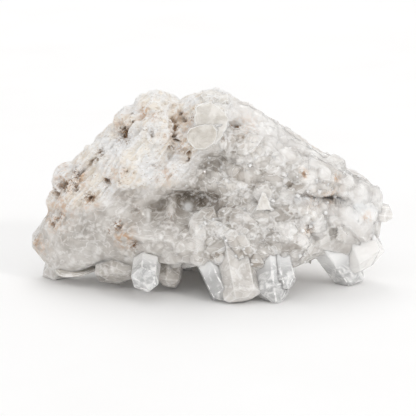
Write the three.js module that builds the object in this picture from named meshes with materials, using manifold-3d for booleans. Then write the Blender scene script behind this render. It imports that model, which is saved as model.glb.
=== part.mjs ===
// A quartz cluster, 120 mm long: a broken lump of milky quartz and pale matrix with quartz points grown over
// its front, its right end and its underside. It all grew together, so it is one solid. It stands on the tips
// of its lowest points and on a broken foot at the back.
// Millimetres, +Z up. X runs along the length and -Y is the crystal-covered front. The origin is on the plane
// that it stands on, under the middle of its bounding box.
import * as THREE from "three";
import { mergeVertices } from "three/addons/utils/BufferGeometryUtils.js";
import Module from "manifold-3d";

const wasm = await Module();
wasm.setup();

// ---- Driving dimensions ----
const LENGTH = 120;
const DEPTH = 61;
const HEIGHT = 65;
const LUMP_FREQUENCY = 13; // how finely the lump's sphere is divided before it is shaped
const FRONT_FINENESS = 0.45; // how much finer the division is at the front than at the back, 0 for even

// The lump's outline seen along +Y, as (x, z), counter-clockwise from the right end.
const HEART = { x: 0, z: 30 };
const OUTLINE = [
  [56, 24], [55.5, 29], [53.5, 33], [49.5, 35.5], [43.5, 38.8], [37, 42.8], [30.5, 47], [22.6, 52.6], [15.3, 57],
  [7.7, 60.6], [4.8, 63], [1.5, 64.6], [-2.5, 63.6], [-7.1, 61.2], [-10.5, 59.5], [-14, 61.8], [-17, 62.8],
  [-20.8, 63], [-25.2, 62.2], [-28.8, 59.8], [-30.9, 55.8], [-32.4, 51.2], [-35, 48], [-41.5, 43.4],
  [-47, 39.4], [-51.6, 36.6], [-54, 32], [-54, 28], [-55.2, 22], [-57, 17.5], [-60.5, 11.5], [-60, 8],
  [-57, 3], [-49, 3], [-40.4, 7], [-32, 8], [-25, 9], [-16.7, 10.8], [-7, 11], [1, 10], [13.7, 9],
  [25, 8.4], [30, 8.6], [38, 10], [43, 11], [49, 9.5], [52.5, 12], [54.5, 17],
];
const SMOOTHING = { reach: 0.3, samples: 7, rim: 6 };

// How far the lump bulges in front of and behind its outline, and how square its cross-section is.
const FRONT = { bulge: 17, squareness: 2.5 };
const BACK = { bulge: 27, low: 12, squareness: 3 };

// Depth of the outline itself: the crest runs along CREST.y, and the lower edge comes forward.
const CREST = { y: 4, leftEnd: 5 };
const LOWER_EDGE = { forward: 16, at: 2, spreadLeft: 33, spreadRight: 24, top: 32, bottom: 10 };

// Relief on the front: each patch moves the surface along Y by depth, negative towards the front.
// size is the patch's reach along its own two directions, the first one turned by turn degrees above X.
const FRONT_RELIEF = [
  { name: "centre recess", at: [-6, 29.5], size: [8.5, 4], turn: 5, depth: 8 },
  { name: "recess under the blades", at: [1, 42], size: [8, 4.5], turn: 20, depth: 4 },
  { name: "left pocket of the recess", at: [-17.5, 27.5], size: [4.5, 4], turn: 0, depth: 5 },
  { name: "fin in the recess", at: [-13.5, 27.5], size: [1.8, 3.2], turn: -30, depth: -5 },
  { name: "lower front", at: [-8, 21], size: [16, 6], turn: 8, depth: -1.5 },
  { name: "hollow under the matrix", at: [-27, 33], size: [6, 2], turn: 8, depth: 3 },
  { name: "matrix brow", at: [-31, 39], size: [15, 5], turn: 38, depth: -3 },
  { name: "matrix ledge low left", at: [-45, 31], size: [6, 3], turn: 30, depth: -2.5 },
  { name: "upper matrix knob", at: [-19, 54], size: [8, 6], turn: 0, depth: -3.5 },
  { name: "matrix hollow", at: [-14, 45], size: [7, 5], turn: 20, depth: 3 },
  { name: "gully below the knob", at: [-12, 57], size: [3, 6], turn: 60, depth: 4 },
  { name: "blade shelf", at: [-1, 54], size: [7, 6], turn: 0, depth: -3.5 },
  { name: "gully right of the blades", at: [9, 55], size: [3, 5], turn: -60, depth: 3 },
  { name: "right belly", at: [22, 21], size: [16, 8], turn: 0, depth: -3.5 },
  { name: "pitted lump", at: [33, 37.5], size: [5.5, 4], turn: -20, depth: -4.5 },
  { name: "dark pocket", at: [38, 30], size: [7, 2], turn: -12, depth: 6 },
  { name: "right ledge", at: [30, 28.5], size: [6, 2.4], turn: -15, depth: -3 },
  { name: "pocket below the ledge", at: [36, 19], size: [6, 4], turn: 25, depth: 3.5 },
  { name: "left face", at: [-40, 19], size: [13, 9], turn: 10, depth: -5 },
];

// Relief on the back: lumps, hollows and a groove.
const BACK_RELIEF = [
  { name: "upper back hollow", at: [14, 48], size: [13, 6], turn: -30, depth: -8 },
  { name: "back shoulder", at: [-24, 38], size: [11, 6], turn: 30, depth: 6 },
  { name: "back groove", at: [2, 30], size: [4, 15], turn: 25, depth: -8 },
  { name: "right back lump", at: [28, 27], size: [9, 6], turn: -20, depth: 5 },
  { name: "right back pocket", at: [38, 20], size: [6, 5], turn: 10, depth: -7 },
  { name: "left back hollow", at: [-40, 22], size: [9, 6], turn: 0, depth: -8 },
  { name: "low back ledge", at: [-14, 14], size: [16, 4], turn: 5, depth: 5 },
  { name: "low back hollow", at: [18, 13], size: [8, 5], turn: -15, depth: -6 },
];

// Broken faces: planes that cut the lump, each by its outward direction and its distance from the heart.
const BROKEN_FACES = [
  { name: "upper back", facing: [0.12, 0.72, 0.68], distance: 28 },
  { name: "upper back left", facing: [-0.42, 0.6, 0.68], distance: 33.5 },
  { name: "right slope of the back", facing: [0.52, 0.5, 0.7], distance: 31 },
  { name: "back left", facing: [-0.6, 0.78, 0.1], distance: 35 },
  { name: "back right", facing: [0.66, 0.74, 0.05], distance: 36 },
  { name: "low back right", facing: [0.35, 0.75, -0.56], distance: 30 },
  { name: "low back left", facing: [-0.5, 0.62, -0.6], distance: 40 },
  { name: "upper left matrix", facing: [-0.5, -0.62, 0.6], distance: 31.5 },
  { name: "front right", facing: [0.38, -0.86, 0.34], distance: 25 },
  { name: "left face", facing: [-0.37, -0.9, 0.23], distance: 24.3 },
  { name: "left face underside", facing: [-0.28, -0.88, -0.38], distance: 27.3 },
  { name: "left end", facing: [-0.85, -0.5, 0.1], distance: 50.5 },
];
const BROKEN_FACE_KEEPS = 0.12; // share of the bulge outside a broken face that stays

// The foot at the back that the lump stands on.
const FOOT = { x: -3, y: 18, spreadX: 17, spreadY: 8, drop: 20 };

// Roughness, as the height of the lumps of a fractal noise: on the front in the pale matrix and in the
// quartz, and on the back.
const ROUGHNESS = { matrix: 1.7, quartz: 0.9, back: 1.9, wavelength: 9, octaves: 3 };
// The matrix lies above the line from a to b and left of the line from b to c, seen along +Y.
const MATRIX = { a: [-49.5, 26], b: [-9, 38], c: [7, 61], blend: 3 };

// ---- Points: quartz crystals, each from its root to its tip, width across its flats, thick across the
// other way as a share of width, point the length of its six-sided termination, cut the share of the
// termination that is broken off, and roll in degrees about its own axis ----
const POINTS = [
  { name: "stub facing front", root: [-20.8, -12, 12.5], tip: [-21.6, -27, 7.4], width: 8.2, point: 3.2, cut: 0.6, roll: 8 },
  { name: "shaded point", root: [-12, -9, 15], tip: [-14.6, -14.5, 2.4], width: 7.6, point: 4, cut: 0.5, roll: 20 },
  { name: "shaded block", root: [-31, -2, 16], tip: [-31.6, -12, 3.8], width: 12.5, thick: 0.85, point: 4, cut: 0.65, roll: 5 },
  { name: "long clear point", root: [-3.5, -16, 17], tip: [5.8, -25, -0.6], width: 8, point: 6.5, cut: 0.3, roll: 25 },
  { name: "milky point", root: [6.5, -17, 20], tip: [10.4, -27, 1.2], width: 11.2, point: 5, cut: 0.6, roll: 5 },
  { name: "clear point", root: [18.3, -15, 18], tip: [20.4, -26, -0.6], width: 10.6, point: 7.5, cut: 0.28, roll: 20 },
  { name: "clear point twin", root: [20.5, -15, 18], tip: [24, -25.5, 4.6], width: 7.6, point: 4.5, cut: 0.35, roll: 44 },
  { name: "right point", root: [36.5, -6, 17], tip: [47, 0.5, -0.6], width: 10.6, point: 5, cut: 0.5, roll: 10 },
  { name: "big smooth prism", root: [42, 3, 27], tip: [51.5, -2, 5], width: 14.5, point: 7, cut: 0.5, roll: 14 },
  { name: "right end blade", root: [47, 4, 24.5], tip: [61.5, 1, 22.6], width: 11, thick: 0.38, point: 5, cut: 0.35, roll: 85 },
  { name: "right end stub", root: [53, 0, 19], tip: [57.4, -2.5, 15.6], width: 3.4, point: 2, cut: 0.3, roll: 30 },
  { name: "frosted point upper", root: [43, -1, 28], tip: [52.5, -4, 32.6], width: 8, point: 3.5, cut: 0.6, roll: 10 },
  { name: "frosted point outer", root: [45, 2, 28], tip: [57.4, -1, 29], width: 8.5, point: 3.5, cut: 0.6, roll: 35 },
  { name: "frosted point lower", root: [43, -1, 25], tip: [55, -5.5, 24], width: 8, point: 3.5, cut: 0.5, roll: 22 },
  { name: "upright lens", root: [42.5, -2, 27], tip: [43.2, -5.5, 38], width: 7.4, thick: 0.7, point: 4.5, cut: 0.5, roll: 15 },
  { name: "left foot point", root: [-45, 2, 12], tip: [-54.6, 7, -1.8], width: 8.4, point: 6, cut: 0.3, roll: 0 },
  { name: "left end prism", root: [-36, 3, 15], tip: [-61.5, 7.5, 10], width: 15, thick: 0.95, point: 10, cut: 0.3, roll: 12 },
  { name: "square crystal", root: [8.5, -10, 26], tip: [9.4, -20.5, 24.6], width: 7.4, point: 2, cut: 0.7, roll: 15 },
  { name: "bright facet", root: [17.5, -8, 35], tip: [16.2, -17.5, 33.4], width: 6.4, point: 2, cut: 0.7, roll: 30 },
];

// ---- Blades: pale tabular crystals near the crest, each a six-sided plate ----
const BLADES = [
  { name: "upper blade", at: [-0.2, -9.8, 56.6], facing: [0.22, -0.86, 0.45], width: 13, height: 13.5, thickness: 4.5, turn: 24 },
  { name: "lower blade", at: [-3.2, -12.2, 52.6], facing: [0.1, -0.9, 0.3], width: 11.5, height: 8.6, thickness: 4.5, turn: 8 },
  { name: "crest blade", at: [1, -2.5, 62], facing: [0.1, -0.6, 0.8], width: 11, height: 7, thickness: 4, turn: 5 },
  { name: "left edge plate", at: [-45, -3.5, 5.2], facing: [-0.05, -0.35, 1], width: 15, height: 9, thickness: 1.6, turn: 6 },
];

// ---- Crust: patches of stubby points on the front. size and turn are as in the relief above, width is the
// smallest and the largest, and lean is added to the direction that the surface faces. ----
const CRUST = [
  { name: "upper right", at: [22.5, 46], size: [16, 7.5], turn: -38, count: 24, width: [4, 8], lean: [0.3, 0, 0.5] },
  { name: "middle", at: [12, 32], size: [10, 8], turn: 0, count: 16, width: [4, 7.5], lean: [0, 0, 0.1] },
  { name: "right", at: [32, 24], size: [11, 8], turn: 0, count: 17, width: [4, 7], lean: [0.3, 0, -0.1] },
  { name: "right end", at: [49, 28], size: [7, 8], turn: 0, count: 16, width: [3.5, 6.5], lean: [0.6, 0, 0.3] },
  { name: "lower edge", at: [12, 14.5], size: [20, 4], turn: 0, count: 11, width: [3.5, 6], lean: [0, 0, -0.5] },
  { name: "ledge", at: [-6, 23], size: [13, 4], turn: 5, count: 8, width: [3, 5.5], lean: [0, 0, 0.4] },
];
const CRUST_LENGTH = [0.1, 0.42]; // how far the stubby points stand out, as shares of their width

// ---- Repeatable chance ----
// A number from 0 to 1 that depends only on n.
function chance(n) {
  const s = Math.sin(n * 127.1 + 11.7) * 43758.5453;
  return s - Math.floor(s);
}

// A number from -1 to 1 that depends only on i, j and k.
function latticeValue(i, j, k) {
  const s = Math.sin(i * 127.1 + j * 311.7 + k * 74.7) * 43758.5453;
  return 2 * (s - Math.floor(s)) - 1;
}

const ease = (t) => t * t * (3 - 2 * t);
const { clamp, degToRad, lerp: mix } = THREE.MathUtils;
const smoothstep = (x, from, to) => ease(clamp((x - from) / (to - from), 0, 1));

// Smooth noise from -1 to 1 with bumps one unit across.
function noise(x, y, z) {
  const i = Math.floor(x);
  const j = Math.floor(y);
  const k = Math.floor(z);
  const u = ease(x - i);
  const v = ease(y - j);
  const w = ease(z - k);
  let sum = 0;
  for (const di of [0, 1])
    for (const dj of [0, 1])
      for (const dk of [0, 1]) {
        const weight = (di ? u : 1 - u) * (dj ? v : 1 - v) * (dk ? w : 1 - w);
        sum += weight * latticeValue(i + di, j + dj, k + dk);
      }
  return sum;
}

function fractal(p, wavelength, octaves) {
  let sum = 0;
  for (let octave = 0; octave < octaves; octave++) {
    const step = wavelength / 2 ** octave;
    sum += noise(p.x / step, p.y / step, p.z / step) / 2 ** octave;
  }
  return sum;
}

// ---- The lump ----
// Distance from the heart to the outline in the direction (ux, uz).
function outlineReach(ux, uz) {
  for (let n = 0; n < OUTLINE.length; n++) {
    const [ax, az] = OUTLINE[n];
    const [bx, bz] = OUTLINE[(n + 1) % OUTLINE.length];
    const px = ax - HEART.x;
    const pz = az - HEART.z;
    const ex = bx - ax;
    const ez = bz - az;
    const cross = ux * ez - uz * ex;
    const reach = (px * ez - pz * ex) / cross;
    const share = (px * uz - pz * ux) / cross;
    if (share >= 0 && share <= 1 && reach > 0) return reach;
  }
  throw new Error("the outline leaves a gap");
}

// The same distance with the outline's corners smoothed away.
function smoothReach(angle) {
  let sum = 0;
  for (let n = 0; n < SMOOTHING.samples; n++) {
    const a = angle + SMOOTHING.reach * (2 * n / (SMOOTHING.samples - 1) - 1);
    sum += outlineReach(Math.cos(a), Math.sin(a));
  }
  return sum / SMOOTHING.samples;
}

// How far from the heart a point is at spread, 0 at the heart and 1 at the outline.
function reachAt(angle, spread) {
  const smooth = smoothReach(angle);
  const exact = outlineReach(Math.cos(angle), Math.sin(angle));
  return spread * smooth + (exact - smooth) * spread ** SMOOTHING.rim;
}

function outlineDepth(x, z) {
  const low = smoothstep(LOWER_EDGE.top - z, 0, LOWER_EDGE.top - LOWER_EDGE.bottom);
  const spread = x < LOWER_EDGE.at ? LOWER_EDGE.spreadLeft : LOWER_EDGE.spreadRight;
  const middle = Math.exp(-(((x - LOWER_EDGE.at) / spread) ** 2) / 2);
  const left = CREST.leftEnd * smoothstep(-x, 20, 60);
  return CREST.y + left - LOWER_EDGE.forward * low * middle;
}

// Sum of the patches' depths at (x, z).
function relief(patches, x, z) {
  let sum = 0;
  for (const { at, size, turn, depth } of patches) {
    const t = degToRad(turn);
    const dx = x - at[0];
    const dz = z - at[1];
    const along = (dx * Math.cos(t) + dz * Math.sin(t)) / size[0];
    const across = (dz * Math.cos(t) - dx * Math.sin(t)) / size[1];
    sum += depth * Math.exp(-(along ** 2) - across ** 2);
  }
  return sum;
}

// How far (x, z) is to the left of the line from one point to another.
function leftOf([ax, az], [bx, bz], x, z) {
  return ((bx - ax) * (z - az) - (bz - az) * (x - ax)) / Math.hypot(bx - ax, bz - az);
}

// 1 in the pale matrix, 0 in the quartz.
function matrixShare(x, z) {
  const inside = Math.min(leftOf(MATRIX.a, MATRIX.b, x, z), leftOf(MATRIX.b, MATRIX.c, x, z));
  return smoothstep(inside, -MATRIX.blend, MATRIX.blend);
}

// Moves a point of the unit sphere to its place on the lump.
function ontoLump(direction) {
  const front = direction.y < 0;
  const { bulge, squareness } = front ? FRONT : BACK;
  const angle = Math.atan2(direction.z, direction.x);
  const rise = Math.abs(direction.y) ** (2 / squareness);
  const reach = reachAt(angle, Math.hypot(direction.x, direction.z) ** (2 / squareness));
  const x = HEART.x + reach * Math.cos(angle);
  const z = HEART.z + reach * Math.sin(angle);
  const inward = smoothstep(rise, 0, 0.5);
  const p = new THREE.Vector3(x, outlineDepth(x, z), z);
  if (front) p.y += inward * relief(FRONT_RELIEF, x, z) - bulge * rise;
  else {
    const low = BACK.low * smoothstep(HEART.z + 10 - z, 0, 30);
    p.y += (bulge + low) * rise + inward * relief(BACK_RELIEF, x, z);
  }
  breakFaces(p);
  roughen(p, direction);
  growFoot(p);
  return p;
}

function breakFaces(p) {
  for (const { facing, distance } of BROKEN_FACES) {
    const n = new THREE.Vector3(...facing).normalize();
    const outside = (p.x - HEART.x) * n.x + p.y * n.y + (p.z - HEART.z) * n.z - distance;
    if (outside > 0) p.addScaledVector(n, -outside * (1 - BROKEN_FACE_KEEPS));
  }
}

function roughen(p, direction) {
  const front = mix(ROUGHNESS.quartz, ROUGHNESS.matrix, matrixShare(p.x, p.z));
  const height = mix(front, ROUGHNESS.back, smoothstep(direction.y, 0, 0.4));
  p.addScaledVector(direction, height * fractal(p, ROUGHNESS.wavelength, ROUGHNESS.octaves));
}

function growFoot(p) {
  const off = ((p.x - FOOT.x) / FOOT.spreadX) ** 2 + ((p.y - FOOT.y) / FOOT.spreadY) ** 2;
  p.z -= FOOT.drop * Math.exp(-off) * smoothstep(HEART.z - p.z, 0, 12);
}

function lumpGeometry() {
  const geometry = welded(new THREE.IcosahedronGeometry(1, LUMP_FREQUENCY));
  const position = geometry.getAttribute("position");
  for (let n = 0; n < position.count; n++) {
    const even = new THREE.Vector3().fromBufferAttribute(position, n).normalize();
    position.setXYZ(n, ...ontoLump(finerInFront(even)).toArray());
  }
  return geometry;
}

// Moves a point of the unit sphere towards the front, so that more points lie there.
function finerInFront({ x, y, z }) {
  const share = (1 - y) / 2;
  const newY = 1 - 2 * (share + FRONT_FINENESS * share * (1 - share));
  const ring = Math.hypot(x, z);
  const scale = ring > 0 ? Math.sqrt(Math.max(0, 1 - newY ** 2)) / ring : 0;
  return new THREE.Vector3(x * scale, newY, z * scale);
}

// The direction of the unit sphere whose place on the front of the lump is near (x, z).
function frontDirection(x, z) {
  const angle = Math.atan2(z - HEART.z, x - HEART.x);
  const reach = Math.hypot(x - HEART.x, z - HEART.z);
  let low = 0;
  let high = 1;
  for (let step = 0; step < 30; step++) {
    const middle = (low + high) / 2;
    if (reachAt(angle, middle) < reach) low = middle;
    else high = middle;
  }
  const ring = low ** (FRONT.squareness / 2);
  return new THREE.Vector3(ring * Math.cos(angle), -Math.sqrt(1 - ring ** 2), ring * Math.sin(angle));
}

// The place on the front of the lump near (x, z), and the way that the lump faces around it.
function frontSeat(x, z, around) {
  const place = (dx, dz) => ontoLump(frontDirection(x + dx, z + dz));
  const sideways = place(around, 0).sub(place(-around, 0));
  const upwards = place(0, around).sub(place(0, -around));
  return { point: place(0, 0), facing: sideways.cross(upwards).normalize() };
}

// ---- Crystals ----
// A turn that takes +Z to axis, rolled about it.
function aim(axis, roll) {
  const up = new THREE.Vector3(0, 0, 1);
  const about = new THREE.Quaternion().setFromAxisAngle(up, degToRad(roll));
  return new THREE.Quaternion().setFromUnitVectors(up, axis).multiply(about);
}

// A six-sided prism from root to tip with a six-sided termination.
function pointGeometry({ root, tip, width, thick = 1, point, cut, roll }) {
  const from = new THREE.Vector3(...root);
  const axis = new THREE.Vector3(...tip).sub(from);
  const length = axis.length();
  const corner = width / 2 / Math.cos(Math.PI / 6);
  const profile = [
    new THREE.Vector2(0, 0),
    new THREE.Vector2(corner, 0),
    new THREE.Vector2(corner, length - point * (1 - cut)),
    new THREE.Vector2(corner * cut, length),
    new THREE.Vector2(0, length),
  ];
  const geometry = new THREE.LatheGeometry(cut > 0 ? profile : profile.slice(0, 4), 6);
  geometry.rotateX(Math.PI / 2);
  geometry.scale(1, thick, 1);
  geometry.applyQuaternion(aim(axis.normalize(), roll));
  geometry.translate(from.x, from.y, from.z);
  return welded(geometry);
}

function bladeGeometry({ at, facing, width, height, thickness, turn }) {
  const geometry = new THREE.CylinderGeometry(0.43, 0.5, 1, 8);
  geometry.rotateX(Math.PI / 2);
  geometry.scale(width, height, thickness);
  geometry.applyQuaternion(aim(new THREE.Vector3(...facing).normalize(), turn));
  geometry.translate(...at);
  return welded(geometry);
}

// The stubby points of one patch, spread evenly over it, and seated on the lump's front.
function crustPoints({ at, size, turn, count, width, lean }, seed) {
  const points = [];
  const t = degToRad(turn);
  for (let n = 1; n <= count; n++) {
    const draw = (k) => chance(seed * 97 + n * 7 + k);
    const out = Math.sqrt((n * 0.7548776662) % 1);
    const around = 2 * Math.PI * ((n * 0.569840291) % 1);
    const along = size[0] * out * Math.cos(around);
    const across = size[1] * out * Math.sin(around);
    const x = at[0] + along * Math.cos(t) - across * Math.sin(t);
    const z = at[1] + along * Math.sin(t) + across * Math.cos(t);
    const w = mix(width[0], width[1], draw(0));
    const { point, facing } = frontSeat(x, z, w / 2);
    const axis = new THREE.Vector3(...lean).multiplyScalar(0.7).add(facing);
    axis.add(new THREE.Vector3(draw(1) - 0.5, 0, draw(2) - 0.5)).normalize();
    points.push({
      root: point.clone().addScaledVector(axis, -w).toArray(),
      tip: point.addScaledVector(axis, w * mix(...CRUST_LENGTH, draw(3))).toArray(),
      width: w,
      point: w * mix(0.45, 0.8, draw(4)),
      cut: draw(5) < 0.5 ? 0 : 0.45,
      roll: 60 * draw(6),
    });
  }
  return points;
}

// ---- Solids ----
// The geometry with its shared vertices merged.
function welded(geometry) {
  geometry.deleteAttribute("normal");
  geometry.deleteAttribute("uv");
  return mergeVertices(geometry, 1e-4);
}

function solid(geometry) {
  return new wasm.Manifold(new wasm.Mesh({
    numProp: 3,
    vertProperties: new Float32Array(geometry.getAttribute("position").array),
    triVerts: new Uint32Array(geometry.index.array),
  }));
}

function geometryOf(manifold) {
  const { vertProperties, triVerts } = manifold.getMesh();
  const geometry = new THREE.BufferGeometry();
  geometry.setAttribute("position", new THREE.BufferAttribute(new Float32Array(vertProperties), 3));
  geometry.setIndex(new THREE.BufferAttribute(new Uint32Array(triVerts), 1));
  return geometry;
}

function clusterGeometry() {
  const crystals = [
    ...POINTS.map(pointGeometry),
    ...BLADES.map(bladeGeometry),
    ...CRUST.flatMap((patch, n) => crustPoints(patch, n + 1)).map(pointGeometry),
  ];
  const grown = crystals.map(solid).reduce((all, one) => all.add(one), solid(lumpGeometry()));
  const envelope = new THREE.BoxGeometry(LENGTH, DEPTH, HEIGHT);
  envelope.translate(0, 0, HEIGHT / 2);
  return geometryOf(grown.intersect(solid(welded(envelope))));
}

const quartz = new THREE.MeshStandardMaterial({ color: 0xdedad5, roughness: 0.35, metalness: 0 });
const part = new THREE.Group();
const cluster = new THREE.Mesh(clusterGeometry(), quartz);
cluster.name = "quartz_cluster";
part.add(cluster);

export default part;
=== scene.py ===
import itertools
import math

import bmesh
import bpy
import numpy as np
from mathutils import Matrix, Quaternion, Vector


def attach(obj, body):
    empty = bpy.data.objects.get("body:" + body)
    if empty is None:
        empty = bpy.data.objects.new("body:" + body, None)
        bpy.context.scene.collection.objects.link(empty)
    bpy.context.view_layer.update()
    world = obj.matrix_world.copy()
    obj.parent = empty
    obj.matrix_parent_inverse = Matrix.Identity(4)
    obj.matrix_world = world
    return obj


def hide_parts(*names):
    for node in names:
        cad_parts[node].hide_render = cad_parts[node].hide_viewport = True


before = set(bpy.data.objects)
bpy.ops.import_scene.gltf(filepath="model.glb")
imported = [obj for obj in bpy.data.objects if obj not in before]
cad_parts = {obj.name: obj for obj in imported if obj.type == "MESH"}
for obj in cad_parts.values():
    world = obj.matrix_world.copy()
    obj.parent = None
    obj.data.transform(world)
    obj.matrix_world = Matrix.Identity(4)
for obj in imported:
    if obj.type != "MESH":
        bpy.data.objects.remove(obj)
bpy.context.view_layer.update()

MM = 0.001

# ---- The CAD's sizes ----
LENGTH, DEPTH, HEIGHT = 120, 61, 65

HEART = (0, 30)
OUTLINE = [
    (56, 24), (55.5, 29), (53.5, 33), (49.5, 35.5), (43.5, 38.8), (37, 42.8), (30.5, 47), (22.6, 52.6),
    (15.3, 57), (7.7, 60.6), (4.8, 63), (1.5, 64.6), (-2.5, 63.6), (-7.1, 61.2), (-10.5, 59.5),
    (-14, 61.8), (-17, 62.8), (-20.8, 63), (-25.2, 62.2), (-28.8, 59.8), (-30.9, 55.8), (-32.4, 51.2),
    (-35, 48), (-41.5, 43.4), (-47, 39.4), (-51.6, 36.6), (-54, 32), (-54, 28), (-55.2, 22), (-57, 17.5),
    (-60.5, 11.5), (-60, 8), (-57, 3), (-49, 3), (-40.4, 7), (-32, 8), (-25, 9), (-16.7, 10.8), (-7, 11),
    (1, 10), (13.7, 9), (25, 8.4), (30, 8.6), (38, 10), (43, 11), (49, 9.5), (52.5, 12), (54.5, 17),
]
SMOOTHING_REACH, SMOOTHING_SAMPLES, SMOOTHING_RIM = 0.3, 7, 6
FRONT_BULGE, FRONT_SQUARENESS = 17, 2.5
BACK_BULGE, BACK_LOW, BACK_SQUARENESS = 27, 12, 3
CREST_Y, CREST_LEFT_END, CREST_LEFT_FROM, CREST_LEFT_TO = 4, 5, 20, 60
EDGE_FORWARD, EDGE_AT, EDGE_SPREAD_LEFT, EDGE_SPREAD_RIGHT = 16, 2, 33, 24
EDGE_TOP, EDGE_BOTTOM = 32, 10
INWARD = 0.5  # how far in from the outline the relief reaches its full depth
BACK_LOW_TOP, BACK_LOW_FADE = 10, 30  # the low bulge of the back starts above the heart
BACK_ROUGH = 0.4
FOOT_FADE = 12
HALVINGS = 30  # of the range in which the direction of a seat is sought

# Relief as (x, z, reach along, reach across, turn in degrees, depth).
FRONT_RELIEF = [
    (-6, 29.5, 8.5, 4, 5, 8),  # centre recess
    (1, 42, 8, 4.5, 20, 4),  # recess under the blades
    (-17.5, 27.5, 4.5, 4, 0, 5),  # left pocket of the recess
    (-13.5, 27.5, 1.8, 3.2, -30, -5),  # fin in the recess
    (-8, 21, 16, 6, 8, -1.5),  # lower front
    (-27, 33, 6, 2, 8, 3),  # hollow under the matrix
    (-31, 39, 15, 5, 38, -3),  # matrix brow
    (-45, 31, 6, 3, 30, -2.5),  # matrix ledge low left
    (-19, 54, 8, 6, 0, -3.5),  # upper matrix knob
    (-14, 45, 7, 5, 20, 3),  # matrix hollow
    (-12, 57, 3, 6, 60, 4),  # gully below the knob
    (-1, 54, 7, 6, 0, -3.5),  # blade shelf
    (9, 55, 3, 5, -60, 3),  # gully right of the blades
    (22, 21, 16, 8, 0, -3.5),  # right belly
    (33, 37.5, 5.5, 4, -20, -4.5),  # pitted lump
    (38, 30, 7, 2, -12, 6),  # dark pocket
    (30, 28.5, 6, 2.4, -15, -3),  # right ledge
    (36, 19, 6, 4, 25, 3.5),  # pocket below the ledge
    (-40, 19, 13, 9, 10, -5),  # left face
]
BACK_RELIEF = [
    (14, 48, 13, 6, -30, -8),  # upper back hollow
    (-24, 38, 11, 6, 30, 6),  # back shoulder
    (2, 30, 4, 15, 25, -8),  # back groove
    (28, 27, 9, 6, -20, 5),  # right back lump
    (38, 20, 6, 5, 10, -7),  # right back pocket
    (-40, 22, 9, 6, 0, -8),  # left back hollow
    (-14, 14, 16, 4, 5, 5),  # low back ledge
    (18, 13, 8, 5, -15, -6),  # low back hollow
]

# Broken faces as (outward direction, distance from the heart).
BROKEN_FACES = [
    ((0.12, 0.72, 0.68), 28),
    ((-0.42, 0.6, 0.68), 33.5),
    ((0.52, 0.5, 0.7), 31),
    ((-0.6, 0.78, 0.1), 35),
    ((0.66, 0.74, 0.05), 36),
    ((0.35, 0.75, -0.56), 30),
    ((-0.5, 0.62, -0.6), 40),
    ((-0.5, -0.62, 0.6), 31.5),
    ((0.38, -0.86, 0.34), 25),
    ((-0.37, -0.9, 0.23), 24.3),
    ((-0.28, -0.88, -0.38), 27.3),
    ((-0.85, -0.5, 0.1), 50.5),
]
BROKEN_FACE_KEEPS = 0.12
FOOT_X, FOOT_Y, FOOT_SPREAD_X, FOOT_SPREAD_Y, FOOT_DROP = -3, 18, 17, 8, 20
ROUGH_MATRIX, ROUGH_QUARTZ, ROUGH_BACK, ROUGH_WAVE, ROUGH_OCTAVES = 1.7, 0.9, 1.9, 9, 3
MATRIX_LINE = ((-49.5, 26), (-9, 38), (7, 61))
MATRIX_BLEND = 3

# Points as name: (root, tip, width, thickness as a share of it, point, cut, roll). The glassy ones also say
# how milky they are.
CLEAR_POINTS = {
    "stub facing front": ((-20.8, -12, 12.5), (-21.6, -27, 7.4), 8.2, 1, 3.2, 0.6, 8, 0.4),
    "long clear point": ((-3.5, -16, 17), (5.8, -25, -0.6), 8, 1, 6.5, 0.3, 25, 0.3),
    "clear point": ((18.3, -15, 18), (20.4, -26, -0.6), 10.6, 1, 7.5, 0.28, 20, 0.35),
    "clear point twin": ((20.5, -15, 18), (24, -25.5, 4.6), 7.6, 1, 4.5, 0.35, 44, 0.3),
    "right point": ((36.5, -6, 17), (47, 0.5, -0.6), 10.6, 1, 5, 0.5, 10, 0.45),
}
# The milky ones also say how pale and how broken they are.
MILKY_POINTS = {
    "shaded point": ((-12, -9, 15), (-14.6, -14.5, 2.4), 7.6, 1, 4, 0.5, 20, 0.2, 0.2),
    "shaded block": ((-31, -2, 16), (-31.6, -12, 3.8), 12.5, 0.85, 4, 0.65, 5, 0.2, 0.2),
    "milky point": ((6.5, -17, 20), (10.4, -27, 1.2), 11.2, 1, 5, 0.6, 5, 0.7, 0.3),
    "big smooth prism": ((42, 3, 27), (51.5, -2, 5), 14.5, 1, 7, 0.5, 14, 1.6, 0.05),
    "right end blade": ((47, 4, 24.5), (61.5, 1, 22.6), 11, 0.38, 5, 0.35, 85, 0.9, 0.6),
    "left foot point": ((-45, 2, 12), (-54.6, 7, -1.8), 8.4, 1, 6, 0.3, 0, 0.6, 0.3),
    "left end prism": ((-36, 3, 15), (-61.5, 7.5, 10), 15, 0.95, 10, 0.3, 12, 0.6, 0.3),
}
# These stay in the lump's own surface.
FUSED_POINTS = {
    "frosted point upper": ((43, -1, 28), (52.5, -4, 32.6), 8, 1, 3.5, 0.6, 10),
    "frosted point outer": ((45, 2, 28), (57.4, -1, 29), 8.5, 1, 3.5, 0.6, 35),
    "frosted point lower": ((43, -1, 25), (55, -5.5, 24), 8, 1, 3.5, 0.5, 22),
    "upright lens": ((42.5, -2, 27), (43.2, -5.5, 38), 7.4, 0.7, 4.5, 0.5, 15),
    "right end stub": ((53, 0, 19), (57.4, -2.5, 15.6), 3.4, 1, 2, 0.3, 30),
    "square crystal": ((8.5, -10, 26), (9.4, -20.5, 24.6), 7.4, 1, 2, 0.7, 15),
    "bright facet": ((17.5, -8, 35), (16.2, -17.5, 33.4), 6.4, 1, 2, 0.7, 30),
}

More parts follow.
